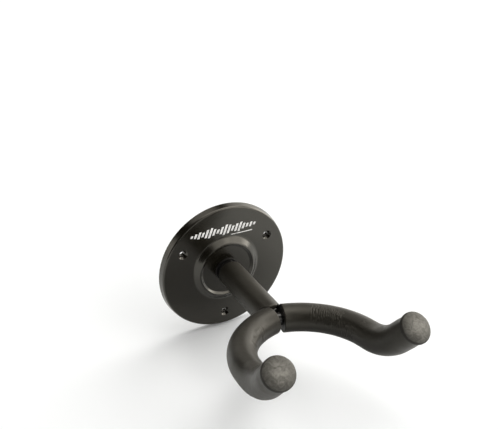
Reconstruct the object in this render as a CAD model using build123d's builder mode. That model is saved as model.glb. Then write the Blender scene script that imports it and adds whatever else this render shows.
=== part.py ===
"""Wall guitar hanger: a stamped round wall plate, a swivelling stem and a foam-covered two-armed yoke.

The wall is the XZ plane and the hanger stands out of it along -Y. The origin is the centre of the
plate's back, where the stem's axis meets the wall. Distances called "out" are measured from the wall.
"""
from build123d import *
from math import cos, radians, sin
import os

os.makedirs("parts", exist_ok=True)

# Wall plate, millimetres
sheet = 1.5
plate_radius = 44.0
plate_front_radius = 43.1
flange_out = 5.0
disc_out = 6.6
bead_out = 7.9
bead_foot_radius = 22.4
bead_inner_radius = 17.2
plate_bend = 1.3
bead_rise = 0.9
bead_crest = 1.4
bead_skirt = 0.4
back_skirt = 0.3
back_crest_outer = 2.0
back_crest_inner = 1.2
back_rise = 0.4
front_bends = (0.5, 0.5, 1.2, 1.6, plate_bend)
back_bends = (0.6, 0.8, 0.3, 0.3, 0.3)
shaft_clearance = 0.08

# Wall screws, three on one circle; each hole is drawn back to the wall as a short sleeve
screw_circle = 68.0
screw_count = 3
screw_first_angle = 30
screw_hole_radius = 1.75
countersink_radius = 2.75
screw_sleeve_radius = 2.9

# Printed mark above the bead: a row of slanted sound-level bars over a thin rule
ink = 0.06
bar_heights = (1.6, 2.8, 4.4, 3.0, 5.4, 6.6, 4.2, 2.6, 4.8, 6.8, 5.6, 3.4, 5.0, 6.2, 3.8, 2.4, 3.2, 1.8)
bar_width = 1.5
bar_pitch = 2.55
bar_lean = 0.35
mark_centre_x = -1.8
mark_middle_out = 28.0
rule_length = 15.0
rule_width = 0.5
rule_x = 11.0
rule_drop = 4.3

# Steel rods and the fasteners that let the yoke swivel
rod_radius = 4.0
rod_end_chamfer = 0.6
stem_first_out = 0.3
washer_radius = 8.0
washer_bore_radius = 4.2
washer_thickness = 1.0
nut_across_flats = 13.0
nut_height = 4.0
nut_flat_radius = 6.2
nut_bevel_radius = 8.0
nut_bevel_depth = 1.04
nut_turn = 19.0
spring_washer_thickness = 0.6
spring_washer_rise = 0.3

# Yoke: each arm runs out sideways, turns forward, then turns up to its tip
yoke_out = 67.3
yoke_bend = 5.0
weld_leg = 1.9
weld_crown = 0.4
arm_side_length, arm_side_angle = 35.4, 13.9
arm_forward_length, arm_forward_angle, arm_forward_rise = 47.6, 85.2, 8.4
arm_tip_length, arm_tip_angle, arm_tip_rise = 28.2, 83.8, 51.4
arm_side_bend = 42.3
arm_forward_bend = 35.2

# Foam sleeves and end caps
foam_radius = 8.5
left_sleeve_start = 1.5
right_sleeve_start = 4.9
stem_sleeve_gap = 0.3
stem_sleeve_end_out = 65.2
cope_gap = 0.15
cap_radius = 8.8
cap_lip = 0.3
cap_side = 0.9
cap_shoulder_radius = 6.4
cap_shoulder_height = 2.9
cap_height = 3.6
cap_spigot = 7.0
rod_end_gap = 1.0

# Worked out from the above
disc_back_out = disc_out - sheet
washer_out = disc_out + washer_thickness
front_nut_end_out = washer_out + nut_height
rear_nut_out = disc_back_out - spring_washer_thickness - spring_washer_rise
hub_bore_radius = rod_radius + shaft_clearance
yoke_centre = Vector(0, -yoke_out, 0)


def heading(angle, rise):
    """Unit direction: angle turns from +X towards the room, rise lifts it."""
    flat = cos(radians(rise))
    return Vector(cos(radians(angle)) * flat, -sin(radians(angle)) * flat, sin(radians(rise)))


side_way = heading(arm_side_angle, 0)
tip_way = heading(arm_tip_angle, arm_tip_rise)
side_corner = yoke_centre + side_way * arm_side_length
forward_corner = side_corner + heading(arm_forward_angle, arm_forward_rise) * arm_forward_length
sleeve_end = forward_corner + tip_way * arm_tip_length


def same(point):
    return point


def mirrored(point):
    return Vector(-point.X, point.Y, point.Z)


def save(piece, label):
    piece.part.label = label
    export_step(piece.part, f"parts/{label}.step")
    return piece.part


def build_base_plate():
    """Round dished stamping: rim turned back to the wall, flat flange, raised bead and hub disc."""
    front_outline = (
        (hub_bore_radius, -disc_out),
        (bead_inner_radius, -disc_out),
        (bead_inner_radius + bead_rise, -bead_out),
        (bead_inner_radius + bead_rise + bead_crest, -bead_out),
        (bead_foot_radius + bead_skirt, -flange_out),
        (plate_front_radius, -flange_out),
        (plate_radius, 0),
    )
    back_outline = (
        (plate_radius - sheet, 0),
        (plate_front_radius - sheet, sheet - flange_out),
        (bead_foot_radius - back_skirt, sheet - flange_out),
        (bead_inner_radius + back_crest_outer, sheet - bead_out),
        (bead_inner_radius + back_crest_inner, sheet - bead_out),
        (bead_inner_radius + back_rise, -disc_back_out),
        (hub_bore_radius, -disc_back_out),
    )
    with BuildPart() as base_plate:
        with BuildSketch(Plane.XY):
            with BuildLine():
                front = FilletPolyline(*front_outline, radius=front_bends)
                back = FilletPolyline(*back_outline, radius=back_bends)
                Line(front @ 1, back @ 0)
                Line(back @ 1, front @ 0)
            make_face()
        revolve(axis=Axis.Y)
        with BuildSketch(Plane.XZ):
            with PolarLocations(screw_circle / 2, screw_count, start_angle=screw_first_angle):
                Circle(screw_sleeve_radius)
        extrude(amount=flange_out - sheet / 2)
        with Locations(Plane.XZ.offset(flange_out)):
            with PolarLocations(screw_circle / 2, screw_count, start_angle=screw_first_angle):
                CounterSinkHole(screw_hole_radius, countersink_radius, counter_sink_angle=90)
    return save(base_plate, "base_plate")


def build_printed_mark():
    """Thin ink on the flange: slanted bars of different heights, with a short rule under the last few."""
    first_bar_x = mark_centre_x - bar_pitch * (len(bar_heights) - 1) / 2
    with BuildPart() as printed_mark:
        with BuildSketch(Plane.XZ.offset(flange_out)):
            for number, height in enumerate(bar_heights):
                x = first_bar_x + number * bar_pitch
                lean = bar_lean * height / 2
                left, right = x - bar_width / 2, x + bar_width / 2
                top, bottom = mark_middle_out + height / 2, mark_middle_out - height / 2
                with BuildLine():
                    Polyline((left - lean, bottom), (right - lean, bottom), (right + lean, top),
                             (left + lean, top), close=True)
                make_face()
            with Locations((rule_x, mark_middle_out - rule_drop)):
                Rectangle(rule_length, rule_width)
        extrude(amount=ink)
    return save(printed_mark, "printed_mark")


def build_yoke_rod():
    """One round bar, bent in the middle and twice in each arm."""
    rod_end = sleeve_end - tip_way * (cap_spigot + rod_end_gap)
    corners = (rod_end, forward_corner, side_corner)
    route = [mirrored(point) for point in corners] + [yoke_centre] + list(reversed(corners))
    with BuildPart() as yoke_rod:
        with BuildLine() as path:
            FilletPolyline(*route, radius=(arm_forward_bend, arm_side_bend, yoke_bend,
                                           arm_side_bend, arm_forward_bend))
        with BuildSketch(Plane(origin=path.line @ 0, z_dir=path.line % 0)):
            Circle(rod_radius)
        sweep()
        tips = yoke_rod.faces().filter_by(GeomType.PLANE)
        chamfer(tips.edges(), rod_end_chamfer)
    return save(yoke_rod, "yoke_rod")


def arm_tube(placed, start, outer_radius, inner_radius):
    """Tube over one arm's centre line, from a distance off the yoke's middle to the tip."""
    corners = (yoke_centre + side_way * start, side_corner, forward_corner, sleeve_end)
    with BuildPart() as tube:
        with BuildLine() as path:
            FilletPolyline(*[placed(point) for point in corners], radius=(arm_side_bend, arm_forward_bend))
        with BuildSketch(Plane(origin=path.line @ 0, z_dir=path.line % 0)):
            Circle(outer_radius)
            if inner_radius:
                Circle(inner_radius, mode=Mode.SUBTRACT)
        sweep()
    return tube.part


def build_arm_sleeve(label, placed, start, *neighbours):
    """Foam tube over one arm, notched where it meets the stem."""
    with BuildPart() as arm_sleeve:
        add(arm_tube(placed, start, foam_radius, rod_radius))
        for neighbour in neighbours:
            add(neighbour, mode=Mode.SUBTRACT)
    return save(arm_sleeve, label)


def build_end_cap(label, placed):
    """Domed cap over the sleeve's end, with a spigot in the sleeve's bore."""
    seat = placed(sleeve_end)
    out = placed(sleeve_end + tip_way) - seat
    sideways = out.cross(Vector(0, 0, 1)).normalized()
    with BuildPart() as end_cap:
        with BuildSketch(Plane(origin=seat, x_dir=sideways, z_dir=sideways.cross(out))):
            with BuildLine():
                Polyline((0, cap_height), (0, -cap_spigot), (rod_radius, -cap_spigot), (rod_radius, 0),
                         (cap_radius - cap_lip, 0), (cap_radius, cap_lip), (cap_radius, cap_side))
                Spline((cap_radius, cap_side), (cap_shoulder_radius, cap_shoulder_height), (0, cap_height),
                       tangents=((0, 1), (-1, 0)))
            make_face()
        revolve(axis=Axis(seat, out))
    return save(end_cap, label)


def build_stem_rod(yoke_rod):
    """Round bar from the nut behind the plate to the yoke, its end shaped to sit on the yoke's bar."""
    with BuildPart() as stem_rod:
        with BuildSketch(Plane.XZ.offset(stem_first_out)):
            Circle(rod_radius)
        extrude(amount=yoke_out - rod_radius / 2 - stem_first_out)
        chamfer(stem_rod.edges().sort_by(Axis.Y)[-1], rod_end_chamfer)
        add(yoke_rod, mode=Mode.SUBTRACT)
    return save(stem_rod, "stem_rod")


def build_yoke_weld(*neighbours):
    """Weld bead round the joint of the two bars."""
    weld_out = yoke_out - rod_radius
    with BuildPart() as yoke_weld:
        with BuildSketch(Plane.XY):
            with BuildLine():
                Polyline((rod_radius - 1, -weld_out + weld_leg), (rod_radius, -weld_out + weld_leg),
                         (rod_radius + weld_leg, -weld_out - weld_crown),
                         (rod_radius + weld_leg / 2, -weld_out - weld_leg),
                         (rod_radius - 1, -weld_out - weld_leg), close=True)
            make_face()
        revolve(axis=Axis.Y)
        for neighbour in neighbours:
            add(neighbour, mode=Mode.SUBTRACT)
    return save(yoke_weld, "yoke_weld")


def build_stem_sleeve(*neighbours):
    """Straight foam tube over the stem, from the front nut to the yoke, its end cut to sit on the arm sleeves."""
    first_out = front_nut_end_out + stem_sleeve_gap
    with BuildPart() as stem_sleeve:
        with BuildSketch(Plane.XZ.offset(first_out)):
            Circle(foam_radius)
            Circle(rod_radius, mode=Mode.SUBTRACT)
        extrude(amount=stem_sleeve_end_out - first_out)
        for neighbour in neighbours:
            add(neighbour, mode=Mode.SUBTRACT)
    return save(stem_sleeve, "stem_sleeve")


def build_nut(label, first_out):
    """Thin hexagon nut, its corners bevelled on both faces."""
    last_out = first_out + nut_height
    with BuildPart() as nut:
        with BuildSketch(Plane.XZ.offset(first_out)):
            RegularPolygon(nut_across_flats / 2, 6, major_radius=False, rotation=nut_turn)
            Circle(rod_radius, mode=Mode.SUBTRACT)
        extrude(amount=nut_height)
        with BuildSketch(Plane.XY):
            with BuildLine():
                Polyline((0, -first_out), (nut_flat_radius, -first_out),
                         (nut_bevel_radius, -first_out - nut_bevel_depth),
                         (nut_bevel_radius, nut_bevel_depth - last_out), (nut_flat_radius, -last_out),
                         (0, -last_out), close=True)
            make_face()
        revolve(axis=Axis.Y, mode=Mode.INTERSECT)
    return save(nut, label)


def build_front_washer():
    """Flat washer between the plate's hub disc and the front nut."""
    with BuildPart() as front_washer:
        with BuildSketch(Plane.XZ.offset(disc_out)):
            Circle(washer_radius)
            Circle(washer_bore_radius, mode=Mode.SUBTRACT)
        extrude(amount=washer_thickness)
    return save(front_washer, "front_washer")


def build_spring_washer():
    """Conical spring washer behind the hub disc, which gives the swivel its friction."""
    with BuildPart() as spring_washer:
        with BuildSketch(Plane.XY):
            with BuildLine():
                Polyline((washer_bore_radius, -rear_nut_out), (washer_radius, -rear_nut_out - spring_washer_rise),
                         (washer_radius, -disc_back_out),
                         (washer_bore_radius, -disc_back_out + spring_washer_rise), close=True)
            make_face()
        revolve(axis=Axis.Y)
    return save(spring_washer, "spring_washer")


build_base_plate()
build_printed_mark()
yoke_bar = build_yoke_rod()
stem_bar = build_stem_rod(yoke_bar)
weld = build_yoke_weld(yoke_bar, stem_bar)
build_arm_sleeve("right_arm_sleeve", same, right_sleeve_start, yoke_bar, stem_bar, weld)
build_arm_sleeve("left_arm_sleeve", mirrored, left_sleeve_start, yoke_bar, stem_bar, weld)
build_end_cap("right_end_cap", same)
build_end_cap("left_end_cap", mirrored)
right_room = arm_tube(same, right_sleeve_start - cope_gap, foam_radius + cope_gap, 0)
left_room = arm_tube(mirrored, left_sleeve_start - cope_gap, foam_radius + cope_gap, 0)
build_stem_sleeve(right_room, left_room, yoke_bar, weld)
build_front_washer()
build_nut("front_nut", washer_out)
build_spring_washer()
build_nut("rear_nut", rear_nut_out - nut_height)
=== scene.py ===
"""Looks of the wall guitar hanger: painted plate, foam-covered stem and yoke, built round the CAD parts.

Everything is in metres in the part's own frame: the wall is the XZ plane, the hanger stands out along -Y.
"""
import math

import bmesh
import bpy
import numpy as np
from mathutils import Matrix, Vector, noise


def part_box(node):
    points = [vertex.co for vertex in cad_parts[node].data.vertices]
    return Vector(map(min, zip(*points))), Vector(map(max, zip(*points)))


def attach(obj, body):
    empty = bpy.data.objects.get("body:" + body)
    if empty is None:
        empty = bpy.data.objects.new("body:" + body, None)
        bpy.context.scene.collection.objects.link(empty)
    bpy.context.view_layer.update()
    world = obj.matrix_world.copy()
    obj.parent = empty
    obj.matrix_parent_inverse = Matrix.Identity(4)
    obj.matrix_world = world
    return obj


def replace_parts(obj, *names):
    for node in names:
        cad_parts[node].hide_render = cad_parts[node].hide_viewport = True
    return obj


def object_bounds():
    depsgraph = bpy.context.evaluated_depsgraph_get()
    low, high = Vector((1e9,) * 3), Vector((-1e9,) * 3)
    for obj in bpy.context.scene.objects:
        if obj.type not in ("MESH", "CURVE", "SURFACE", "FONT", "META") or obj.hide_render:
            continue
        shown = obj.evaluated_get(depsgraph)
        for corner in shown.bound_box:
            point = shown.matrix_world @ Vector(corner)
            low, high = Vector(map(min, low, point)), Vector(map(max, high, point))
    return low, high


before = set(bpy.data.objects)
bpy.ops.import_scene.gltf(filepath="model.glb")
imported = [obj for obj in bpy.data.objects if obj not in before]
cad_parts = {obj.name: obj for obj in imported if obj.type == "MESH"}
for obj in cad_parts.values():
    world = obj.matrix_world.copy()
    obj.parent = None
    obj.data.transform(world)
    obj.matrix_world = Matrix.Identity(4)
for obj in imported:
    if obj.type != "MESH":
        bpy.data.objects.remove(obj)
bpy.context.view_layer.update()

MM = 0.001

# Yoke and stem, as in the CAD: each arm runs out sideways, turns forward, then turns up
YOKE_OUT = 67.3 * MM
ARM_SIDE_LENGTH, ARM_SIDE_ANGLE = 35.4 * MM, 13.9
ARM_FORWARD_LENGTH, ARM_FORWARD_ANGLE, ARM_FORWARD_RISE = 47.6 * MM, 85.2, 8.4
ARM_TIP_LENGTH, ARM_TIP_ANGLE, ARM_TIP_RISE = 28.2 * MM, 83.8, 51.4
ARM_BENDS = (42.3 * MM, 35.2 * MM)
LEFT_SLEEVE_START, RIGHT_SLEEVE_START = 1.5 * MM, 4.9 * MM
STEM_SLEEVE_END = 65.2 * MM
COPE_GAP = 0.15 * MM
FOAM_RADIUS = 8.5 * MM
ROD_RADIUS = 4.0 * MM
YOKE_MIDDLE_BEND, ROD_SHORT_OF_TIP = 5 * MM, 8 * MM
STEM_BACK_OUT, STEM_THREAD_LENGTH = 0.3 * MM, 12.5 * MM
CAP_RADIUS, CAP_HEIGHT, CAP_FULLNESS = 8.8 * MM, 4.0 * MM, 2.3

# Wall plate: a 1.5 mm stamping with a raised bead and hub disc; "out" is distance from the wall.
# As in the CAD, but for softer slopes on the bead and a countersink 0.35 mm wider all round.
SHEET = 1.5 * MM
PLATE_RADIUS, PLATE_FRONT_RADIUS, PLATE_BEND = 44.0 * MM, 43.1 * MM, 1.3 * MM
FLANGE_OUT, DISC_OUT, BEAD_OUT = 5.0 * MM, 6.6 * MM, 7.9 * MM
BEAD_FOOT_RADIUS, BEAD_INNER_RADIUS = 22.4 * MM, 17.2 * MM
HUB_BORE_RADIUS = 4.08 * MM
SCREW_CIRCLE_RADIUS, SCREW_ANGLES = 34.0 * MM, (30, 150, 270)
SCREW_HOLE_RADIUS, COUNTERSINK_RADIUS, SCREW_SLEEVE_RADIUS = 1.75 * MM, 3.1 * MM, 2.9 * MM
HOLE_PATCH, HOLE_PATCH_SEGMENTS = 4.5 * MM, 8
PLATE_SEGMENTS = 360
SHEET_WAVE = 0.03 * MM

# Printed mark, as in the CAD
BAR_HEIGHTS = (1.6, 2.8, 4.4, 3.0, 5.4, 6.6, 4.2, 2.6, 4.8, 6.8, 5.6, 3.4, 5.0, 6.2, 3.8, 2.4, 3.2, 1.8)
BAR_WIDTH, BAR_PITCH, BAR_LEAN = 1.5 * MM, 2.55 * MM, 0.35
MARK_CENTRE_X, MARK_MIDDLE_UP = -1.8 * MM, 28.0 * MM
RULE_LENGTH, RULE_WIDTH, RULE_X, RULE_DROP = 15.0 * MM, 0.5 * MM, 11.0 * MM, 4.3 * MM
INK = 0.06 * MM

# Fasteners and weld, as in the CAD; a nut's corners slope back past its flat face by NUT_BEVEL
WASHER_RADIUS, WASHER_BORE_RADIUS, WASHER_THICKNESS = 8.0 * MM, 4.2 * MM, 1.0 * MM
NUT_FLATS, NUT_HEIGHT, NUT_FLAT_RADIUS, NUT_TURN = 13.0 * MM, 4.0 * MM, 6.2 * MM, 19.0
NUT_BEVEL = 1.04 / 1.8
SPRING_THICKNESS, SPRING_RISE = 0.6 * MM, 0.3 * MM
THREAD_PITCH, THREAD_DEPTH = 1.25 * MM, 0.45 * MM
WELD_RADIUS, WELD_RIPPLES = 1.5 * MM, 34

# Foam sleeves: how finely they are meshed, their cut ends, and how they thin towards the caps
SLEEVE_SEGMENTS = 144
RING_STEP = 0.28 * MM
EDGE_ROUND, EDGE_STEPS = 0.55 * MM, 5
SLEEVE_TAPER, SLEEVE_TAPER_LENGTH = 0.35 * MM, 9 * MM

# Creases in mm and degrees: start, end, depth, pitch, lift, spread, slant (see crease_depth)
TIP_BEND_CREASE = (66, 92, 0.20, 1.7, 0, 60, 0)
CREASES = {
    "right": ((15, 42, 0.75, 1.65, 52, 50, 2.2), (26, 62, 0.34, 1.3, 5, 52, 0), TIP_BEND_CREASE),
    "left": ((14, 44, 0.40, 1.6, 20, 42, 1), (30, 62, 0.16, 1.3, 0, 60, 0), TIP_BEND_CREASE),
}

# Photograph's camera: direction, roll, distance and what it is aimed at, from the plate's centre
CAMERA_AZIMUTH, CAMERA_ELEVATION, CAMERA_ROLL = -28.7, 28.25, 1.6
CAMERA_DISTANCE = 499 * MM
CAMERA_AIM_RIGHT, CAMERA_AIM_UP = 17.96 * MM, 31.95 * MM
CAMERA_LENS = 55.5

# Warm tint of the paint's and the foam's gloss
WARM = (1.0, 0.97, 0.89, 1.0)

# Floor: half its width, the gap under the plate, and the patch before the plate that throws back less light,
# a painted shadow seen only in the hanger's reflections and bounce light
FLOOR_HALF, FLOOR_GAP = 6.0, 0.5 * MM
DIM_X, DIM_Y, DIM_INNER, DIM_OUTER = 5 * MM, -75 * MM, 38 * MM, 83 * MM

# Surroundings: the lights' tint, then azimuth, elevation, inner and outer angle and strength of each
LIGHT_TINT = (1, 0.965, 0.90, 1)
LIGHTS = (
    (92, 10, 10, 32, 5.5),
    (105, 60, 8, 24, 3.3),
    (0, 88, 8, 24, 2.9),
    (120, 35, 8, 24, 1.6),
    (45, 42, 8, 24, 2.2),
    (-170, 55, 8, 24, 0.9),
    (12, 28, 8, 26, 1.5),
    (50, 2, 10, 32, 2.6),
    (132, 6, 8, 22, 1.5),
    (-110, 12, 8, 24, 1.6),
    (170, 12, 8, 24, 1.6),
)


# ---------------------------------------------------------------- geometry

def heading(angle, rise):
    """Unit direction: angle turns from +X towards the room, rise lifts it."""
    angle, rise = math.radians(angle), math.radians(rise)
    return np.array([math.cos(angle) * math.cos(rise), -math.sin(angle) * math.cos(rise), math.sin(rise)])


def rounded_route(corners, radii, step):
    """Points, tangents and bend vectors along a filleted polyline.

    A bend vector points to the bend's centre and is 1/radius long; it is zero on a straight.
    """
    points, tangents, bends = [], [], []

    def add(point, tangent, bend):
        points.append(point)
        tangents.append(tangent)
        bends.append(bend)

    here = corners[0]
    for before, corner, after, radius in zip(corners, corners[1:], corners[2:], radii):
        way_in = (corner - before) / np.linalg.norm(corner - before)
        way_out = (after - corner) / np.linalg.norm(after - corner)
        turn = math.acos(float(np.clip(way_in @ way_out, -1, 1)))
        reach = radius * math.tan(turn / 2)
        arc_start = corner - way_in * reach
        inward = way_out - way_in * float(way_in @ way_out)
        inward /= np.linalg.norm(inward)
        straight = np.linalg.norm(arc_start - here)
        for share in np.linspace(0, 1, max(2, round(straight / step)), endpoint=False):
            add(here + (arc_start - here) * share, way_in, inward * 0)
        for angle in np.linspace(0, turn, max(2, round(radius * turn / step)), endpoint=False):
            offset = way_in * math.sin(angle) + inward * (1 - math.cos(angle))
            centre_way = inward * math.cos(angle) - way_in * math.sin(angle)
            add(arc_start + offset * radius, way_in * math.cos(angle) + inward * math.sin(angle),
                centre_way / radius)
        here = corner + way_out * reach
    way_out = (corners[-1] - here) / np.linalg.norm(corners[-1] - here)
    straight = np.linalg.norm(corners[-1] - here)
    for share in np.linspace(0, 1, max(2, round(straight / step)) + 1):
        add(here + (corners[-1] - here) * share, way_out, way_out * 0)
    return np.array(points), np.array(tangents), np.array(bends)


def carried_frames(tangents):
    """Two directions across the route at each point, turned along it without twist."""
    across = np.cross(tangents[0], (0.0, 0.0, 1.0))
    if np.linalg.norm(across) < 1e-6:
        across = np.cross(tangents[0], (1.0, 0.0, 0.0))
    firsts = []
    for tangent in tangents:
        across = across - tangent * (across @ tangent)
        across /= np.linalg.norm(across)
        firsts.append(across)
    firsts = np.array(firsts)
    return firsts, np.cross(tangents, firsts)


def new_object(name, vertices, faces, material):
    """Smooth-shaded object from vertices and faces."""
    mesh = bpy.data.meshes.new(name)
    mesh.from_pydata([tuple(v) for v in vertices], [], faces)
    mesh.validate()
    mesh.shade_smooth()
    mesh.materials.append(material)
    piece = bpy.data.objects.new(name, mesh)
    bpy.context.scene.collection.objects.link(piece)
    return piece


def ring_faces(rings, segments, closed):
    """Quads between rings of vertices; closed joins the last ring to the first."""
    faces = []
    last = rings if closed else rings - 1
    for ring in range(last):
        here, after = ring * segments, (ring + 1) % rings * segments
        for k in range(segments):
            n = (k + 1) % segments
            faces.append((here + k, here + n, after + n, after + k))
    return faces


def noise_at(points, scale, octaves, seed):
    """Smooth noise, about -1 to 1, at each point."""
    shift = Vector((seed, seed * 1.7, -seed))
    return np.array([noise.fractal(Vector(p) * scale + shift, 1.0, 2.0, octaves,
                                   noise_basis="PERLIN_ORIGINAL") for p in points])


def smoothstep(low, high, value):
    """0 below one value, 1 above the other, with an S-shaped rise between them."""
    t = np.clip((value - low) / (high - low), 0, 1)
    return t * t * (3 - 2 * t)


def rounded_loop(corners, radii, longest):
    """Closed outline with rounded corners; straights are cut into pieces, with a short one at each end."""
    corners = [np.array(c, float) for c in corners]
    arcs = []
    for k, radius in enumerate(radii):
        before, corner, after = corners[k - 1], corners[k], corners[(k + 1) % len(corners)]
        way_in = (corner - before) / np.linalg.norm(corner - before)
        way_out = (after - corner) / np.linalg.norm(after - corner)
        turn = math.acos(float(np.clip(way_in @ way_out, -1, 1)))
        start = corner - way_in * radius * math.tan(turn / 2)
        inward = way_out - way_in * float(way_in @ way_out)
        inward /= np.linalg.norm(inward)
        steps = max(3, math.ceil(math.degrees(turn) / 9))
        arcs.append([start + (way_in * math.sin(a) + inward * (1 - math.cos(a))) * radius
                     for a in np.linspace(0, turn, steps + 1)])
    points = []
    for k, arc in enumerate(arcs):
        points += arc
        start, end = arc[-1], arcs[(k + 1) % len(arcs)][0]
        length = np.linalg.norm(end - start)
        support = min(0.12 * MM, length / 4)
        cuts = [support + (length - 2 * support) * s
                for s in np.linspace(0, 1, max(1, math.ceil((length - 2 * support) / longest)) + 1)]
        points += [start + (end - start) * cut / length for cut in cuts]
    return np.array(points)


def turned_rings(outline, around, shift=None):
    """Rings round the stem's axis, one for each (radius, out) point; around gives unit x, z pairs."""
    rings = []
    for radius, out in outline:
        ring = np.stack([around[:, 0] * radius, np.full(len(around), -out), around[:, 1] * radius], axis=1)
        if shift is not None:
            ring[:, 1] -= shift(ring)
        rings.append(ring)
    return rings


def circle(segments):
    """Unit x, z pairs round the stem's axis."""
    angles = np.linspace(0, 2 * math.pi, segments, endpoint=False)
    return np.stack([np.cos(angles), np.sin(angles)], axis=1)


def sheet_wave(points):
    """Slight unevenness of the pressed sheet, none at the hub or at the rim."""
    radius = np.linalg.norm(points[:, [0, 2]], axis=1)
    amount = smoothstep(9 * MM, 15 * MM, radius) * (1 - smoothstep(40 * MM, 42 * MM, radius))
    flat = points * np.array([1, 0, 1])
    return noise_at(flat, 55.0, 2, 3.0) * SHEET_WAVE * amount


# ---------------------------------------------------------------- foam pieces

def swept(angles, firsts, seconds):
    """Unit directions round a route, for each of its points and each angle."""
    across, up = np.cos(angles)[None, :, None], np.sin(angles)[None, :, None]
    return across * firsts[:, None, :] + up * seconds[:, None, :]


def foam_tube(name, corners, radii, wrinkles, seed, material, reach_at=None, taper=0.0):
    """Foam tube along a route: outer skin with creases inside its bends, rounded cut ends, and a bore.

    reach_at gives how far the tube runs at each angle round it, for an end cut to fit another tube.
    """
    points, tangents, bends = rounded_route(corners, radii, RING_STEP)
    firsts, seconds = carried_frames(tangents)
    travel = np.concatenate([[0], np.cumsum(np.linalg.norm(np.diff(points, axis=0), axis=1))])
    total = travel[-1]
    angles = np.linspace(0, 2 * math.pi, SLEEVE_SEGMENTS, endpoint=False)
    around = swept(angles, firsts, seconds)
    shape = (len(points), SLEEVE_SEGMENTS)
    skin = (points[:, None, :] + around * FOAM_RADIUS).reshape(-1, 3)
    broad = noise_at(skin, 60.0, 2, seed).reshape(shape)
    fine = noise_at(skin, 420.0, 2, seed + 5).reshape(shape)
    radius = FOAM_RADIUS - 0.12 * MM + broad * 0.10 * MM + fine * 0.02 * MM
    radius = radius - taper * smoothstep(total - SLEEVE_TAPER_LENGTH, total, travel)[:, None]
    for crease in wrinkles:
        radius = radius - crease_depth(crease, travel, around, bends, broad, fine)
    outer = points[:, None, :] + around * radius[..., None]
    trim = (travel >= EDGE_ROUND) & (travel <= total - EDGE_ROUND)
    rings = end_rings(points[0], -tangents[0], around[0], radius[0], seed)[::-1]
    rings += [ring for ring, kept in zip(outer, trim) if kept]
    rings += end_rings(points[-1], tangents[-1], around[-1], radius[-1], seed)
    for k in range(len(points) - 1, -1, -12):
        rings.append(points[k] + around[k] * (ROD_RADIUS + 0.02 * MM))
    if reach_at is not None:
        base, way = points[0], tangents[0]
        reach = np.array([reach_at(base + side * FOAM_RADIUS, way) for side in around[0]])
        for number, ring in enumerate(rings):
            along = (ring - base) @ way
            rings[number] = ring + way * (along * (reach / total - 1))[:, None]
    faces = ring_faces(len(rings), SLEEVE_SEGMENTS, True)
    return new_object(name, np.concatenate(rings), faces, material)


def end_rings(base, tangent, around, radius, seed):
    """Rounded edge from the skin to the cut face, then in across the slightly porous face to the bore."""
    made = []
    for k in range(1, EDGE_STEPS + 1):
        angle = math.pi / 2 * k / EDGE_STEPS
        out = radius - EDGE_ROUND * (1 - math.cos(angle))
        made.append(base - tangent * EDGE_ROUND * (1 - math.sin(angle)) + around * out[:, None])
    for share in (0.75, 0.5, 0.25, 0.0):
        ring = base + around * (ROD_RADIUS + (FOAM_RADIUS - EDGE_ROUND - ROD_RADIUS) * share)
        dimple = noise_at(ring, 900.0, 2, seed + 9) * 0.10 * MM
        made.append(ring - tangent * (0.08 * MM + np.abs(dimple)[:, None]))
    return made


def crease_depth(crease, travel, around, bends, broad, fine):
    """Depth of fine crosswise creases, where the foam is squeezed on the inside of a bend.

    A crease is (start, end, depth, pitch, lift, spread, slant): the stretch along the route, then how far the
    patch sits above the bend's inside and how wide it is, in degrees, and how much the creases lean.
    """
    start, end, depth, pitch = (value * MM for value in crease[:4])
    lift, spread_angle, slant = crease[4:]
    length = np.linalg.norm(bends, axis=1)
    inside = bends / np.maximum(length, 1e-9)[:, None]
    middle = inside * math.cos(math.radians(lift)) + np.array([0, 0, math.sin(math.radians(lift))])
    middle /= np.maximum(np.linalg.norm(middle, axis=1), 1e-9)[:, None]
    away = np.degrees(np.arccos(np.clip(np.einsum("ijk,ik->ij", around, middle), -1, 1)))
    height = around[..., 2] - middle[:, None, 2]
    window = smoothstep(start, start + 6 * MM, travel) * (1 - smoothstep(end - 8 * MM, end, travel))
    reach = (1 - smoothstep(spread_angle * 0.5, spread_angle, away + 22 * broad)) * window[:, None]
    share = (travel[:, None] - start) / (end - start)
    warp = travel[:, None] + broad * 2.2 * MM + fine * 0.8 * MM + slant * MM * height * share
    ridge = np.abs(np.sin(math.pi * warp / pitch))
    ridge = smoothstep(0.0, 0.75, ridge)
    patch = 0.25 + 0.75 * np.clip(broad * 1.2 + 0.55 + fine * 1.3, 0, 1)
    return depth * reach * (1 - ridge) * patch


def reach_to_arms(tubes, end):
    """How far a straight line of foam runs before it meets one of the arm tubes, or its own square end."""
    def reach(start, way):
        steps = np.linspace(0.8 * end, end, 161)
        line = start + way * steps[:, None]
        for tube in tubes:
            gap = np.linalg.norm(line[:, None, :] - tube[None, :, :], axis=2).min(axis=1)
            inside = np.flatnonzero(gap < FOAM_RADIUS + COPE_GAP)
            if len(inside):
                line, steps = line[:inside[0]], steps[:inside[0]]
        return steps[-1]
    return reach


def mirrored(points):
    """The same points on the hanger's other side."""
    return [p * np.array([-1, 1, 1]) for p in points]


def arm_corners(start):
    """Corners of the right arm's route, from a distance off the middle to the tip."""
    centre = np.array([0, -YOKE_OUT, 0])
    side = heading(ARM_SIDE_ANGLE, 0)
    side_corner = centre + side * ARM_SIDE_LENGTH
    forward_corner = side_corner + heading(ARM_FORWARD_ANGLE, ARM_FORWARD_RISE) * ARM_FORWARD_LENGTH
    tip = forward_corner + heading(ARM_TIP_ANGLE, ARM_TIP_RISE) * ARM_TIP_LENGTH
    return [centre + side * start, side_corner, forward_corner, tip]


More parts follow.
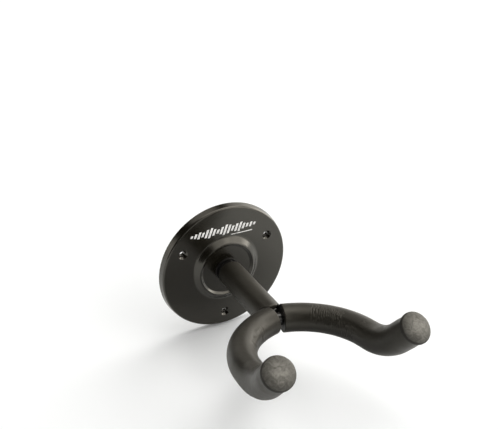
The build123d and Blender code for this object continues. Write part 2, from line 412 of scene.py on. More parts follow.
def end_cap(name, seat, out, seed, material):
    """Domed foam cap: rounded rim, low uneven dome, and a spigot in the sleeve's bore.

    The vertex attribute made here is painted light and shade: 1 in the middle of the dome, which shows
    lighter, falling to 0 at its edge, which shows nearly black as painted shade.
    """
    out = out / np.linalg.norm(out)
    sideways = np.cross(out, (0, 0, 1.0))
    sideways /= np.linalg.norm(sideways)
    third = np.cross(out, sideways)
    lip, side, spigot, gap = 0.3 * MM, 0.9 * MM, 7 * MM, 0.08 * MM
    profile = [(ROD_RADIUS - 0.4 * MM, -spigot), (ROD_RADIUS - 0.05 * MM, -spigot + 0.3 * MM),
               (ROD_RADIUS - 0.05 * MM, -0.3 * MM), (ROD_RADIUS + 0.3 * MM, 0.05 * MM)]
    profile += [(r, gap) for r in np.linspace(ROD_RADIUS + 1 * MM, CAP_RADIUS - 0.8 * MM, 6)]
    for k in range(1, 7):
        a = math.pi / 2 * k / 6
        profile.append((CAP_RADIUS - lip + lip * math.sin(a), gap + lip * (1 - math.cos(a))))
    for k in range(0, 40):
        a = math.pi / 2 * k / 40
        out_share, up_share = math.cos(a) ** (2 / CAP_FULLNESS), math.sin(a) ** (2 / CAP_FULLNESS)
        profile.append((CAP_RADIUS * out_share, side + (CAP_HEIGHT - side) * up_share))
    angles = np.linspace(0, 2 * math.pi, SLEEVE_SEGMENTS, endpoint=False)
    around = np.cos(angles)[:, None] * sideways + np.sin(angles)[:, None] * third
    rings = []
    for r, h in profile:
        ring = seat + around * r + out * h
        if h > 0.5 * MM:
            wobble = noise_at(ring, 260.0, 3, seed) * 0.06 * MM
            ring = ring + out * wobble[:, None]
        rings.append(ring)
    vertices = list(np.concatenate(rings))
    faces = ring_faces(len(rings), SLEEVE_SEGMENTS, False)
    n = len(vertices)
    vertices += [seat - out * spigot, seat + out * CAP_HEIGHT]
    last = (len(rings) - 1) * SLEEVE_SEGMENTS
    for k in range(SLEEVE_SEGMENTS):
        j = (k + 1) % SLEEVE_SEGMENTS
        faces.append((n, j, k))
        faces.append((n + 1, last + k, last + j))
    piece = new_object(name, vertices, faces, material)
    spots = np.array(vertices) - seat
    reach = np.linalg.norm(spots - np.outer(spots @ out, out), axis=1)
    uneven = noise_at(np.array(vertices), 330.0, 2, seed + 3) * 0.25 * MM
    # painted shade: near 0 round the dome's rim so it shows nearly black, and falling from the middle
    # outwards so the middle shows lighter
    painted_shade = 1 - smoothstep(CAP_RADIUS - 0.75 * MM, CAP_RADIUS - 0.25 * MM, reach + 0.6 * uneven)
    painted_shade = painted_shade * (1 - 0.62 * smoothstep(1 * MM, CAP_RADIUS - 0.6 * MM, reach + 2 * uneven))
    painted_shade = painted_shade * (spots @ out > 0.5 * MM)
    mark = piece.data.attributes.new("painted_shade", "FLOAT", "POINT")
    mark.data.foreach_set("value", painted_shade.astype(np.float32))
    return piece


# ---------------------------------------------------------------- metal pieces

def nearest_ring(outline, side, radius):
    """Ring of the plate's front (1) or back (-1) flange that lies nearest a radius."""
    out = FLANGE_OUT if side > 0 else FLANGE_OUT - SHEET
    flat = [k for k, point in enumerate(outline) if abs(point[1] - out) < 1e-7]
    return min(flat, key=lambda k: abs(outline[k][0] - radius))


def screw_hole_tube():
    """(radius, out) of a countersunk hole and its sleeve: in down the bore, back along the outside."""
    cone = COUNTERSINK_RADIUS - SCREW_HOLE_RADIUS
    front, wall, back = FLANGE_OUT, 0.0, FLANGE_OUT - SHEET
    edge, fillet = 0.16 * MM, 0.5 * MM
    tube = [(COUNTERSINK_RADIUS + 0.22 * MM, front)]
    for k in range(5):
        a = math.radians(45) * k / 4
        tube.append((COUNTERSINK_RADIUS + 0.06 * MM - edge * math.sin(a), front - edge * (1 - math.cos(a))))
    tube += [(COUNTERSINK_RADIUS - cone * s, front - cone * s) for s in (0.35, 0.65, 0.93)]
    tube += [(SCREW_HOLE_RADIUS, front - cone - 0.08 * MM), (SCREW_HOLE_RADIUS, front - cone - 0.5 * MM),
             (SCREW_HOLE_RADIUS, 2 * MM), (SCREW_HOLE_RADIUS, 0.25 * MM),
             (SCREW_HOLE_RADIUS + 0.03 * MM, 0.1 * MM), (SCREW_HOLE_RADIUS + 0.12 * MM, wall),
             (SCREW_SLEEVE_RADIUS - 0.15 * MM, wall),
             (SCREW_SLEEVE_RADIUS - 0.04 * MM, 0.05 * MM), (SCREW_SLEEVE_RADIUS, 0.15 * MM),
             (SCREW_SLEEVE_RADIUS, 0.4 * MM), (SCREW_SLEEVE_RADIUS, back - 0.6 * MM)]
    for k in range(5):
        a = math.pi / 2 * k / 4
        tube.append((SCREW_SLEEVE_RADIUS + fillet * (1 - math.cos(a)), back - fillet * (1 - math.sin(a))))
    return tube


def block_outline(first, way, steps, left, right):
    """(ring, segment) of the grid vertices round a block of the plate's grid, in one turn."""
    loop = [(first, s) for s in range(left, right)]
    loop += [(first + way * r, right) for r in range(steps)]
    loop += [(first + way * steps, s) for s in range(right, left, -1)]
    loop += [(first + way * r, left) for r in range(steps, 0, -1)]
    return [(ring, segment % PLATE_SEGMENTS) for ring, segment in loop]


def plate_outline():
    """(radius, out) round the sheet's section: along the front to the rim, back along the inside."""
    inner, foot = BEAD_INNER_RADIUS, BEAD_FOOT_RADIUS
    crown, rim = BEAD_OUT - 0.15 * MM, PLATE_FRONT_RADIUS
    corners = ((HUB_BORE_RADIUS, DISC_OUT), (inner - 0.3 * MM, DISC_OUT), (inner + 1.1 * MM, crown),
               (inner + 1.7 * MM, crown), (foot + 0.4 * MM, FLANGE_OUT), (rim, FLANGE_OUT),
               (PLATE_RADIUS, 0), (PLATE_RADIUS - SHEET, 0), (rim - SHEET, FLANGE_OUT - SHEET),
               (foot - 0.3 * MM, FLANGE_OUT - SHEET), (inner + 1.6 * MM, BEAD_OUT - SHEET),
               (inner + 1.2 * MM, BEAD_OUT - SHEET), (inner + 0.2 * MM, DISC_OUT - SHEET),
               (HUB_BORE_RADIUS, DISC_OUT - SHEET))
    radii = (0.2 * MM, 1.0 * MM, 1.0 * MM, 2.2 * MM, 2.8 * MM, PLATE_BEND, 0.2 * MM, 0.15 * MM,
             0.6 * MM, 0.8 * MM, 0.3 * MM, 0.3 * MM, 0.3 * MM, 0.15 * MM)
    return rounded_loop(corners, radii, 1.0 * MM)


def screw_hole(vertices, centre, front_loop, back_loop, base):
    """Rings of one hole between its openings in the front and back grids, and the faces that join them.

    base is the number that the first new vertex gets.
    """
    spots = vertices[front_loop] - centre
    turns = np.arctan2(spots[:, 2], spots[:, 0])
    around = np.stack([np.cos(turns), np.sin(turns)], axis=1)
    tube = [centre + ring for ring in turned_rings(screw_hole_tube(), around)]
    for share in (0.3, 0.65):
        tube.insert(0, tube[0] + (vertices[front_loop] - tube[0]) * share)
    last = tube[-1]
    for share in (0.35, 0.7):
        tube.append(last + (vertices[back_loop] - last) * share)
    size = len(front_loop)
    rows = [list(range(base + k * size, base + (k + 1) * size)) for k in range(len(tube))]
    rows = [front_loop, *rows, back_loop]
    faces = []
    for first, second in zip(rows, rows[1:]):
        for k in range(size):
            n = (k + 1) % size
            faces.append((first[k], first[n], second[n], second[k]))
    return tube, faces


def wall_plate(material):
    """Dished stamping: turned-back rim, raised bead, hub disc, and three countersunk holes in sleeves."""
    outline = plate_outline()
    half = HOLE_PATCH_SEGMENTS
    vertices = np.concatenate(turned_rings(outline, circle(PLATE_SEGMENTS), sheet_wave))
    patches = []
    for side in (1, -1):
        patches.append([nearest_ring(outline, side, SCREW_CIRCLE_RADIUS + reach)
                        for reach in (-HOLE_PATCH, HOLE_PATCH)])
    steps = min(abs(outer - inner) for inner, outer in patches)
    removed, extra, faces = set(), [], []
    count = len(vertices)
    for angle in SCREW_ANGLES:
        middle = round(angle / 360 * PLATE_SEGMENTS)
        turn = math.radians(angle)
        centre = np.array([math.cos(turn), 0, math.sin(turn)]) * SCREW_CIRCLE_RADIUS
        loops = []
        for inner, outer in patches:
            way = 1 if outer > inner else -1
            block = block_outline(inner, way, steps, middle - half, middle + half)
            loops.append([r * PLATE_SEGMENTS + s for r, s in block])
            low = min(inner, inner + way * steps)
            removed |= {(low + r, (middle - half + s) % PLATE_SEGMENTS)
                        for r in range(steps) for s in range(2 * half)}
        tube, walls = screw_hole(vertices, centre, *loops, count)
        faces += walls
        extra += tube
        count += len(loops[0]) * len(tube)
    for number, face in enumerate(ring_faces(len(outline), PLATE_SEGMENTS, True)):
        if (number // PLATE_SEGMENTS, number % PLATE_SEGMENTS) not in removed:
            faces.append(face)
    piece = new_object("plate_stamping", np.concatenate([vertices] + extra), faces, material)
    tidy_normals(piece, drop_loose=True)
    return piece


def tidy_normals(piece, drop_loose=False, merge=0.0):
    """Faces all turned outwards; loose vertices or doubles taken away."""
    mesh = bmesh.new()
    mesh.from_mesh(piece.data)
    if merge:
        bmesh.ops.remove_doubles(mesh, verts=mesh.verts, dist=merge)
    if drop_loose:
        bmesh.ops.delete(mesh, geom=[v for v in mesh.verts if not v.link_faces], context="VERTS")
    bmesh.ops.recalc_face_normals(mesh, faces=mesh.faces)
    mesh.to_mesh(piece.data)
    mesh.free()


def printed_mark(material):
    """Slanted bars over a thin rule, in ink with rounded corners that follows the sheet under it."""
    first_x = MARK_CENTRE_X - BAR_PITCH * (len(BAR_HEIGHTS) - 1) / 2
    shapes = []
    for number, height in enumerate(BAR_HEIGHTS):
        x, tall = first_x + number * BAR_PITCH, height * MM
        lean, half = BAR_LEAN * tall / 2, BAR_WIDTH / 2
        low, high = MARK_MIDDLE_UP - tall / 2, MARK_MIDDLE_UP + tall / 2
        shapes.append(((x - half - lean, low), (x + half - lean, low),
                       (x + half + lean, high), (x - half + lean, high)))
    low, high = MARK_MIDDLE_UP - RULE_DROP - RULE_WIDTH / 2, MARK_MIDDLE_UP - RULE_DROP + RULE_WIDTH / 2
    shapes.append(((RULE_X - RULE_LENGTH / 2, low), (RULE_X + RULE_LENGTH / 2, low),
                   (RULE_X + RULE_LENGTH / 2, high), (RULE_X - RULE_LENGTH / 2, high)))
    vertices, faces = [], []
    for corners in shapes:
        outline = rounded_loop(corners, (0.14 * MM,) * 4, 0.5 * MM)
        middle, size = outline.mean(axis=0), len(outline)
        inset = 1 - 0.05 * MM / np.maximum(np.linalg.norm(outline - middle, axis=1), 0.2 * MM)
        crown = middle + (outline - middle) * inset[:, None]
        base = len(vertices)
        for flat, out in ((outline, -0.03 * MM), (outline, INK * 0.6), (crown, INK)):
            ring = np.stack([flat[:, 0], np.full(size, -FLANGE_OUT - out), flat[:, 1]], axis=1)
            ring[:, 1] -= sheet_wave(ring)
            vertices += list(ring)
        for row in range(2):
            for k in range(size):
                n = (k + 1) % size
                faces.append(tuple(base + row * size + i for i in (k, n, size + n, size + k)))
        faces.append(tuple(range(base + 2 * size, base + 3 * size)))
        faces.append(tuple(range(base + size - 1, base - 1, -1)))
    piece = new_object("mark_ink", vertices, faces, material)
    tidy_normals(piece)
    piece.data.set_sharp_from_angle(angle=math.radians(50))
    return piece


def washer(name, first, last, edge, material, rise=0.0):
    """Flat or slightly coned washer with its edges rounded by the punch."""
    corners = ((WASHER_BORE_RADIUS, first), (WASHER_RADIUS, first + rise),
               (WASHER_RADIUS, last), (WASHER_BORE_RADIUS, last - rise))
    segments = 128
    rings = turned_rings(rounded_loop(corners, (edge,) * 4, 1.0 * MM), circle(segments))
    piece = new_object(name, np.concatenate(rings), ring_faces(len(rings), segments, True), material)
    tidy_normals(piece)
    return piece


def nut(name, first, material):
    """Hexagon nut with bevelled corners, rounded edges and a chamfered thread."""
    reach = NUT_FLATS / 2 / math.cos(math.radians(30))
    turns = [math.radians(NUT_TURN + 60 * k) for k in range(6)]
    hexagon = [(reach * math.cos(turn), reach * math.sin(turn)) for turn in turns]
    sides = rounded_loop(hexagon, (0.35 * MM,) * 6, 0.45 * MM)
    rim = np.linalg.norm(sides, axis=1)
    around = sides / rim[:, None]
    drop = np.maximum(rim - NUT_FLAT_RADIUS, 0) * NUT_BEVEL
    half = NUT_HEIGHT / 2
    rows = []

    def row(radius, depth):
        rows.append((np.broadcast_to(radius, rim.shape), np.broadcast_to(depth, rim.shape)))

    thread = ROD_RADIUS - 0.1 * MM
    for radius, depth in ((thread, half), (thread, 0.6 * MM), (4.5 * MM, 0.1 * MM), (4.62 * MM, 0.02 * MM),
                          (4.75 * MM, 0.0), (5.4 * MM, 0.0), (NUT_FLAT_RADIUS - 0.25 * MM, 0.0),
                          (NUT_FLAT_RADIUS, 0.04 * MM)):
        row(radius, depth)
    for share in (0.35, 0.7, 0.93):
        radius = NUT_FLAT_RADIUS + (rim - NUT_FLAT_RADIUS) * share
        radius = np.minimum(radius, rim - 0.12 * MM * (1.05 - share))
        row(radius, np.maximum(radius - NUT_FLAT_RADIUS, 0) * NUT_BEVEL + 0.05 * MM)
    row(rim - 0.03 * MM, drop + 0.08 * MM)
    row(rim, drop + 0.2 * MM)
    row(rim, drop + 0.45 * MM)
    rings = []
    for side in (-1, 1):
        order = rows if side < 0 else rows[::-1]
        for radius, depth in order:
            out = first + (depth if side < 0 else NUT_HEIGHT - depth)
            rings.append(np.stack([around[:, 0] * radius, -out, around[:, 1] * radius], axis=1))
    piece = new_object(name, np.concatenate(rings), ring_faces(len(rings), len(rim), True), material)
    tidy_normals(piece, merge=1e-7)
    return piece


def rod(name, corners, radii, material, threaded=0.0):
    """Round bar along a route with bevelled ends; the first stretch can carry a rolled thread."""
    points, tangents, _ = rounded_route(corners, radii, 0.25 * MM)
    firsts, seconds = carried_frames(tangents)
    travel = np.concatenate([[0], np.cumsum(np.linalg.norm(np.diff(points, axis=0), axis=1))])
    segments = 72
    angles = np.linspace(0, 2 * math.pi, segments, endpoint=False)
    around = swept(angles, firsts, seconds)
    radius = np.full((len(points), segments), ROD_RADIUS)
    if threaded:
        turn = travel[:, None] / THREAD_PITCH + angles[None, :] / (2 * math.pi)
        groove = np.abs((turn % 1) - 0.5) * 2
        fade = 1 - smoothstep(threaded - 1.5 * MM, threaded, travel)
        radius = radius - THREAD_DEPTH * np.clip(groove * 1.15 - 0.1, 0, 1) * fade[:, None]
    ends = np.minimum(travel, travel[-1] - travel)
    radius = radius - np.maximum(0.6 * MM - ends, 0)[:, None] * 0.9
    rings = points[:, None, :] + around * radius[..., None]
    faces = ring_faces(len(points), segments, False)
    vertices = list(rings.reshape(-1, 3)) + [points[0], points[-1]]
    tail = (len(points) - 1) * segments
    for k in range(segments):
        n = (k + 1) % segments
        faces.append((len(vertices) - 2, n, k))
        faces.append((len(vertices) - 1, tail + k, tail + n))
    piece = new_object(name, vertices, faces, material)
    tidy_normals(piece)
    piece.data.set_sharp_from_angle(angle=math.radians(38))
    return piece


def weld_bead(material):
    """Rippled bead laid round the seam where the stem's bar meets the yoke's bar."""
    segments, steps = 20, 340
    centre, rings = [], []
    for k in range(steps):
        angle = 2 * math.pi * k / steps
        across, up = math.cos(angle), math.sin(angle)
        seam = YOKE_OUT - ROD_RADIUS * math.sqrt(across * across + 0.12)
        centre.append(np.array([across * (ROD_RADIUS + 0.35 * MM), -seam + 0.5 * MM,
                                up * (ROD_RADIUS + 0.1 * MM)]))
    centre = np.array(centre)
    for k in range(steps):
        along = centre[(k + 1) % steps] - centre[k - 1]
        along /= np.linalg.norm(along)
        outward = centre[k] * np.array([1, 0, 1])
        outward -= along * (outward @ along)
        outward /= np.linalg.norm(outward)
        third = np.cross(along, outward)
        phase = (k * WELD_RIPPLES / steps) % 1
        bulge = 0.22 * MM * math.sqrt(abs(math.sin(math.pi * phase))) - 0.1 * MM
        wander = noise_at([centre[k]], 500.0, 2, 8.0)[0] * 0.18 * MM
        turns = np.linspace(0, 2 * math.pi, segments, endpoint=False)
        size = WELD_RADIUS + bulge + wander
        rings.append(centre[k] + (np.cos(turns)[:, None] * outward + np.sin(turns)[:, None] * third) * size
                     + along * 0.25 * MM * np.cos(turns)[:, None])
    piece = new_object("weld_bead", np.concatenate(rings), ring_faces(steps, segments, True), material)
    tidy_normals(piece)
    return piece


# ---------------------------------------------------------------- materials

def start_material(name):
    """New node material, with its nodes, its links and its main shader."""
    material = bpy.data.materials.new(name)
    material.use_nodes = True
    nodes = material.node_tree.nodes
    return material, nodes, material.node_tree.links, nodes["Principled BSDF"]


def texture(nodes, links, kind, scale, **inputs):
    """A procedural texture in the piece's own coordinates."""
    where = nodes.new("ShaderNodeTexCoord")
    tex = nodes.new(kind)
    links.new(where.outputs["Object"], tex.inputs["Vector"])
    tex.inputs["Scale"].default_value = scale
    for key, value in inputs.items():
        tex.inputs[key.replace("_", " ")].default_value = value
    return tex


def ramp(nodes, links, source, stops):
    """Colour that follows a value through (position, colour) stops."""
    node = nodes.new("ShaderNodeValToRGB")
    links.new(source, node.inputs["Fac"])
    while len(node.color_ramp.elements) < len(stops):
        node.color_ramp.elements.new(0.5)
    for element, (position, colour) in zip(node.color_ramp.elements, stops):
        element.position = position
        element.color = (*colour, 1)
    return node.outputs["Color"]


def spread(nodes, links, source, low, high, from_low=0.3, from_high=0.7):
    """A value moved from one range, the noise textures' usual one, to another."""
    node = nodes.new("ShaderNodeMapRange")
    links.new(source, node.inputs["Value"])
    node.inputs["From Min"].default_value = from_low
    node.inputs["From Max"].default_value = from_high
    node.inputs["To Min"].default_value = low
    node.inputs["To Max"].default_value = high
    return node.outputs["Result"]


def mixed(nodes, links, share, *colours):
    """From one colour to another by a share; each is an output to follow or a fixed colour."""
    mix = nodes.new("ShaderNodeMix")
    mix.data_type = "RGBA"
    links.new(share, mix.inputs["Factor"])
    for key, colour in zip("AB", colours):
        if isinstance(colour, tuple):
            mix.inputs[key].default_value = (*colour, 1)
        else:
            links.new(colour, mix.inputs[key])
    return mix.outputs["Result"]


def bump(nodes, links, height, strength, distance, normal=None):
    """Fine relief from a height, on top of another relief if one is given."""
    node = nodes.new("ShaderNodeBump")
    node.inputs["Strength"].default_value = strength
    node.inputs["Distance"].default_value = distance
    links.new(height, node.inputs["Height"])
    if normal is not None:
        links.new(normal, node.inputs["Normal"])
    return node.outputs["Normal"]


def plate_paint():
    """Semi-gloss black powder coat with faint orange peel."""
    material, nodes, links, shader = start_material("plate_paint")
    cloud = texture(nodes, links, "ShaderNodeTexNoise", 28, Detail=4)
    peel = texture(nodes, links, "ShaderNodeTexNoise", 900, Detail=3)
    stops = [(0.3, (0.0060, 0.0052, 0.0035)), (0.7, (0.0095, 0.0083, 0.0058))]
    links.new(ramp(nodes, links, cloud.outputs["Fac"], stops), shader.inputs["Base Color"])
    links.new(spread(nodes, links, cloud.outputs["Fac"], 0.17, 0.22), shader.inputs["Roughness"])
    shader.inputs["Specular IOR Level"].default_value = 0.85
    shader.inputs["Specular Tint"].default_value = WARM
    links.new(bump(nodes, links, peel.outputs["Fac"], 0.25, 0.00006), shader.inputs["Normal"])
    return material


def foam_skin():
    """Satin skin of closed-cell foam: fine leathery grain, slow changes of shade and gloss."""
    material, nodes, links, shader = start_material("foam_skin")
    cloud = texture(nodes, links, "ShaderNodeTexNoise", 70, Detail=6, Roughness=0.6)
    cells = texture(nodes, links, "ShaderNodeTexVoronoi", 1500)
    grain = texture(nodes, links, "ShaderNodeTexNoise", 900, Detail=5, Roughness=0.65)
    stops = [(0.3, (0.0095, 0.0083, 0.0058)), (0.7, (0.0150, 0.0132, 0.0095))]
    links.new(ramp(nodes, links, cloud.outputs["Fac"], stops), shader.inputs["Base Color"])
    links.new(spread(nodes, links, cloud.outputs["Fac"], 0.36, 0.50, 0.35, 0.65), shader.inputs["Roughness"])
    shader.inputs["Specular IOR Level"].default_value = 0.5
    shader.inputs["Specular Tint"].default_value = WARM
    shader.inputs["Sheen Weight"].default_value = 0.07
    shader.inputs["Sheen Roughness"].default_value = 0.35
    first = bump(nodes, links, cells.outputs["Distance"], 0.25, 0.00010)
    links.new(bump(nodes, links, grain.outputs["Fac"], 0.45, 0.00014, first), shader.inputs["Normal"])
    return material


def cap_foam():
    """Moulded foam in a mottled grey, with painted shade: lighter over the middle of the dome and nearly
    black round its edge.
    """
    material, nodes, links, shader = start_material("cap_foam")
    cloud = texture(nodes, links, "ShaderNodeTexNoise", 330, Detail=6, Roughness=0.66, Distortion=1.2)
    grain = texture(nodes, links, "ShaderNodeTexNoise", 1800, Detail=4)
    stops = [(0.32, (0.078, 0.076, 0.070)), (0.68, (0.24, 0.235, 0.219))]
    dome = ramp(nodes, links, cloud.outputs["Fac"], stops)
    # painted shade from the vertex attribute: the dome's edge near black, its middle lighter
    painted_shade = nodes.new("ShaderNodeAttribute")
    painted_shade.attribute_name = "painted_shade"
    colour = mixed(nodes, links, painted_shade.outputs["Fac"], (0.004, 0.0035, 0.003), dome)
    links.new(colour, shader.inputs["Base Color"])
    links.new(spread(nodes, links, grain.outputs["Fac"], 0.55, 0.72), shader.inputs["Roughness"])
    shader.inputs["Specular Tint"].default_value = WARM
    links.new(bump(nodes, links, grain.outputs["Fac"], 0.4, 0.00010), shader.inputs["Normal"])
    return material


def gloss_black():
    """Gloss black paint on the bars and the weld."""
    material, nodes, links, shader = start_material("rod_paint")
    cloud = texture(nodes, links, "ShaderNodeTexNoise", 300, Detail=4)
    stops = [(0.35, (0.006, 0.006, 0.006)), (0.7, (0.012, 0.012, 0.011))]
    links.new(ramp(nodes, links, cloud.outputs["Fac"], stops), shader.inputs["Base Color"])
    links.new(spread(nodes, links, cloud.outputs["Fac"], 0.10, 0.20), shader.inputs["Roughness"])
    links.new(bump(nodes, links, cloud.outputs["Fac"], 0.2, 0.0001), shader.inputs["Normal"])
    return material


def plated_steel():
    """Dull zinc plating of the hidden washer and nut."""
    material, nodes, links, shader = start_material("plated_steel")
    cloud = texture(nodes, links, "ShaderNodeTexNoise", 500, Detail=5)
    stops = [(0.3, (0.42, 0.41, 0.39)), (0.7, (0.62, 0.61, 0.59))]
    links.new(ramp(nodes, links, cloud.outputs["Fac"], stops), shader.inputs["Base Color"])
    shader.inputs["Metallic"].default_value = 1.0
    links.new(spread(nodes, links, cloud.outputs["Fac"], 0.26, 0.46), shader.inputs["Roughness"])
    links.new(bump(nodes, links, cloud.outputs["Fac"], 0.2, 0.00005), shader.inputs["Normal"])
    return material


def white_ink():
    """White print, a little thinner in specks."""
    material, nodes, links, shader = start_material("white_ink")
    speck = texture(nodes, links, "ShaderNodeTexNoise", 1400, Detail=4)
    stops = [(0.2, (0.86, 0.86, 0.86)), (0.45, (0.98, 0.985, 1.0))]
    links.new(ramp(nodes, links, speck.outputs["Fac"], stops), shader.inputs["Base Color"])
    shader.inputs["Roughness"].default_value = 0.5
    return material


def black_oxide():
    """Blackened steel of the front washer and nut, a little lighter on worn edges."""
    material, nodes, links, shader = start_material("black_oxide")
    cloud = texture(nodes, links, "ShaderNodeTexNoise", 420, Detail=5)
    edge = worn_edges(nodes, links, 0.0005)
    stops = [(0.3, (0.005, 0.005, 0.005)), (0.7, (0.010, 0.0095, 0.009))]
    dark = ramp(nodes, links, cloud.outputs["Fac"], stops)
    links.new(mixed(nodes, links, edge, dark, (0.030, 0.028, 0.025)), shader.inputs["Base Color"])
    links.new(spread(nodes, links, cloud.outputs["Fac"], 0.34, 0.48), shader.inputs["Roughness"])
    shader.inputs["Specular IOR Level"].default_value = 0.3
    links.new(bump(nodes, links, cloud.outputs["Fac"], 0.15, 0.00005), shader.inputs["Normal"])
    return material


def worn_edges(nodes, links, distance):
    """Mask of edges, from how far a rounded normal leans from the surface's own, broken up by noise."""
    soft = nodes.new("ShaderNodeBevel")
    soft.samples = 4
    soft.inputs["Radius"].default_value = distance
    own = nodes.new("ShaderNodeNewGeometry")
    lean = nodes.new("ShaderNodeVectorMath")
    lean.operation = "DOT_PRODUCT"
    links.new(soft.outputs["Normal"], lean.inputs[0])
    links.new(own.outputs["Normal"], lean.inputs[1])
    speck = texture(nodes, links, "ShaderNodeTexNoise", 700, Detail=4)
    breaks = spread(nodes, links, speck.outputs["Fac"], 0.4, 1.6, 0.35, 0.65)
    edge = spread(nodes, links, lean.outputs["Value"], 1.0, 0.0, 0.90, 0.985)
    mask = nodes.new("ShaderNodeMath")
    mask.operation = "MULTIPLY"
    mask.use_clamp = True
    links.new(edge, mask.inputs[0])
    links.new(breaks, mask.inputs[1])
    return mask.outputs["Value"]


# ---------------------------------------------------------------- build

def stand_in(piece, body, node):
    """A detailed piece takes the place of a CAD node, on the same body."""
    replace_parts(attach(piece, body), node)


def stand_in_foam(piece, node):
    """A foam piece takes the place of its CAD node on the yoke."""
    stand_in(piece, "yoke", node)


def build_foam():
    """The two arm sleeves with their end caps, then the stem's sleeve, cut to sit against them."""
    skin, cap = foam_skin(), cap_foam()
    arms = (("right", arm_corners(RIGHT_SLEEVE_START), 1.0),
            ("left", mirrored(arm_corners(LEFT_SLEEVE_START)), 4.0))
    near_ends = []
    for side, corners, seed in arms:
        sleeve = foam_tube(f"{side}_arm_foam", corners, ARM_BENDS, CREASES[side], seed, skin,
                           taper=SLEEVE_TAPER)
        stand_in_foam(sleeve, f"{side}_arm_sleeve")
        top = end_cap(f"{side}_cap_foam", corners[-1], corners[-1] - corners[-2], seed + 2, cap)
        stand_in_foam(top, f"{side}_end_cap")
        near_ends.append(rounded_route(corners, ARM_BENDS, RING_STEP)[0][:90])
    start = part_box("stem_sleeve")[1].y
    ends = [np.array([0, start, 0]), np.array([0, -STEM_SLEEVE_END, 0])]
    stem = foam_tube("stem_foam", ends, (), (), 7.0, skin, reach_to_arms(near_ends, STEM_SLEEVE_END + start))
    stand_in_foam(stem, "stem_sleeve")


def build_plate():
    """The painted stamping and its printed mark."""
    stand_in(wall_plate(plate_paint()), "wall_plate", "base_plate")
    stand_in(printed_mark(white_ink()), "wall_plate", "printed_mark")


def build_metal():
    """The bent bar, the stem's bar, the weld between them, and the washers and nuts on the stem."""
    black, oxide, plated = gloss_black(), black_oxide(), plated_steel()
    disc_back = DISC_OUT - SHEET
    washer_out = DISC_OUT + WASHER_THICKNESS
    rear_out = disc_back - SPRING_THICKNESS - SPRING_RISE
    tip = arm_corners(0)
    rod_end = tip[3] - heading(ARM_TIP_ANGLE, ARM_TIP_RISE) * ROD_SHORT_OF_TIP
    arm = [tip[1], tip[2], rod_end]
    route = mirrored(arm[::-1]) + [tip[0]] + arm
    yoke = rod("yoke_bar", route, (ARM_BENDS[1], ARM_BENDS[0], YOKE_MIDDLE_BEND, *ARM_BENDS), black)
    stand_in(yoke, "yoke", "yoke_rod")
    ends = [np.array([0, -STEM_BACK_OUT, 0]), np.array([0, ROD_RADIUS / 2 - YOKE_OUT, 0])]
    stand_in(rod("stem_bar", ends, (), black, STEM_THREAD_LENGTH), "yoke", "stem_rod")
    stand_in(weld_bead(black), "yoke", "yoke_weld")
    flat = washer("hub_washer", DISC_OUT, washer_out, 0.18 * MM, oxide)
    stand_in(flat, "yoke", "front_washer")
    stand_in(nut("hub_nut", washer_out, oxide), "yoke", "front_nut")
    spring = washer("cone_washer", rear_out, disc_back, 0.12 * MM, plated, rise=SPRING_RISE)
    stand_in(spring, "yoke", "spring_washer")
    stand_in(nut("back_nut", rear_out - NUT_HEIGHT, plated), "yoke", "rear_nut")


def build_floor():
    """Pale floor just under the plate.

    The camera sees it nearly white. The hanger gets a little less light back from it, and least from a
    patch in front of the plate: a painted shadow under the hanger, seen only in its reflections and bounce
    light, which keeps the dark paint and foam dark.
    """
    size, z = FLOOR_HALF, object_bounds()[0].z - FLOOR_GAP
    material, nodes, links, shader = start_material("floor_white")
    floor = new_object("floor", [(-size, -size, z), (size, -size, z), (size, size, z), (-size, size, z)],
                       [(0, 1, 2, 3)], material)
    cloud = texture(nodes, links, "ShaderNodeTexNoise", 6, Detail=3)
    seen = ramp(nodes, links, cloud.outputs["Fac"], [(0.3, (0.90, 0.937, 0.995)), (0.7, (0.91, 0.946, 1.0))])
    where = nodes.new("ShaderNodeTexCoord")
    away = nodes.new("ShaderNodeVectorMath")
    away.operation = "DISTANCE"
    links.new(where.outputs["Object"], away.inputs[0])
    away.inputs[1].default_value = (DIM_X, DIM_Y, z)
    # painted shadow: the light thrown back is dimmest within DIM_INNER of a spot in front of the plate, under
    # the yoke
    clear = spread(nodes, links, away.outputs["Value"], 0, 1, DIM_INNER, DIM_OUTER)
    thrown = ramp(nodes, links, clear, [(0.0, (0.30, 0.31, 0.33)), (1.0, (0.88, 0.912, 0.945))])
    path = nodes.new("ShaderNodeLightPath")
    colour = mixed(nodes, links, path.outputs["Is Camera Ray"], thrown, seen)
    links.new(colour, shader.inputs["Base Color"])
    shader.inputs["Roughness"].default_value = 0.8
    shader.inputs["Specular IOR Level"].default_value = 0.2


def direction(azimuth, elevation):
    """Unit vector towards a light or the camera: azimuth 0 is in front of the plate, 90 to its right."""
    a, e = math.radians(azimuth), math.radians(elevation)
    return Vector((math.sin(a) * math.cos(e), -math.cos(a) * math.cos(e), math.sin(e)))


def view_axes(azimuth, elevation, roll):
    """The camera's right, up and backward directions."""
    a, r = math.radians(azimuth), math.radians(roll)
    back = direction(azimuth, elevation)
    right = Vector((math.cos(a), math.sin(a), 0))
    up = back.cross(right)
    return right * math.cos(r) + up * math.sin(r), up * math.cos(r) - right * math.sin(r), back


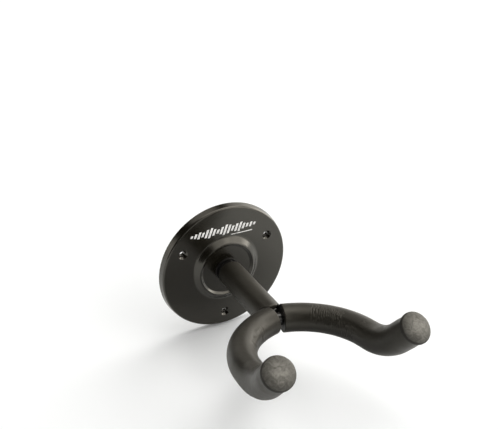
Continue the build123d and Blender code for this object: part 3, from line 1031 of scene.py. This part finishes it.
def build_camera():
    """The photograph's camera: level but for a slight roll, looking down at the hanger from its left."""
    right, up, back = view_axes(CAMERA_AZIMUTH, CAMERA_ELEVATION, CAMERA_ROLL)
    data = bpy.data.cameras.new("camera")
    data.lens = CAMERA_LENS
    data.sensor_width = 36
    data.clip_start, data.clip_end = 0.01, 50
    camera = bpy.data.objects.new("camera", data)
    bpy.context.scene.collection.objects.link(camera)
    place = right * CAMERA_AIM_RIGHT + up * CAMERA_AIM_UP + back * CAMERA_DISTANCE
    axes = Matrix((right, up, back)).transposed().to_4x4()
    camera.matrix_world = Matrix.Translation(place) @ axes
    bpy.context.scene.camera = camera


def glow(nodes, links, where, azimuth, elevation, inner, outer, strength):
    """Soft round patch of light in the surroundings, full inside one angle and gone outside the other."""
    facing = nodes.new("ShaderNodeVectorMath")
    facing.operation = "DOT_PRODUCT"
    links.new(where.outputs["Generated"], facing.inputs[0])
    facing.inputs[1].default_value = direction(azimuth, elevation)
    fade = nodes.new("ShaderNodeMapRange")
    fade.interpolation_type = "SMOOTHSTEP"
    links.new(facing.outputs["Value"], fade.inputs["Value"])
    fade.inputs["From Min"].default_value = math.cos(math.radians(outer))
    fade.inputs["From Max"].default_value = math.cos(math.radians(inner))
    fade.inputs["To Max"].default_value = strength
    return fade.outputs["Result"]


def build_light():
    """Dark studio with soft round lights all round, the strongest low on the right; the camera sees white."""
    world = bpy.data.worlds.new("world")
    bpy.context.scene.world = world
    world.use_nodes = True
    nodes, links = world.node_tree.nodes, world.node_tree.links
    where = nodes.new("ShaderNodeTexCoord")
    total = None
    for patch in LIGHTS:
        value = glow(nodes, links, where, *patch)
        if total is None:
            total = value
            continue
        both = nodes.new("ShaderNodeMath")
        both.operation = "ADD"
        links.new(total, both.inputs[0])
        links.new(value, both.inputs[1])
        total = both.outputs["Value"]
    light = nodes["Background"]
    links.new(total, light.inputs["Strength"])
    light.inputs["Color"].default_value = LIGHT_TINT
    pale = nodes.new("ShaderNodeBackground")
    pale.inputs["Color"].default_value = (1, 1, 1, 1)
    path = nodes.new("ShaderNodeLightPath")
    mix = nodes.new("ShaderNodeMixShader")
    links.new(path.outputs["Is Camera Ray"], mix.inputs["Fac"])
    links.new(light.outputs["Background"], mix.inputs[1])
    links.new(pale.outputs["Background"], mix.inputs[2])
    links.new(mix.outputs["Shader"], nodes["World Output"].inputs["Surface"])
    bpy.context.scene.view_settings.view_transform = "Standard"


build_camera()
build_light()
build_floor()
build_plate()
build_metal()
build_foam()
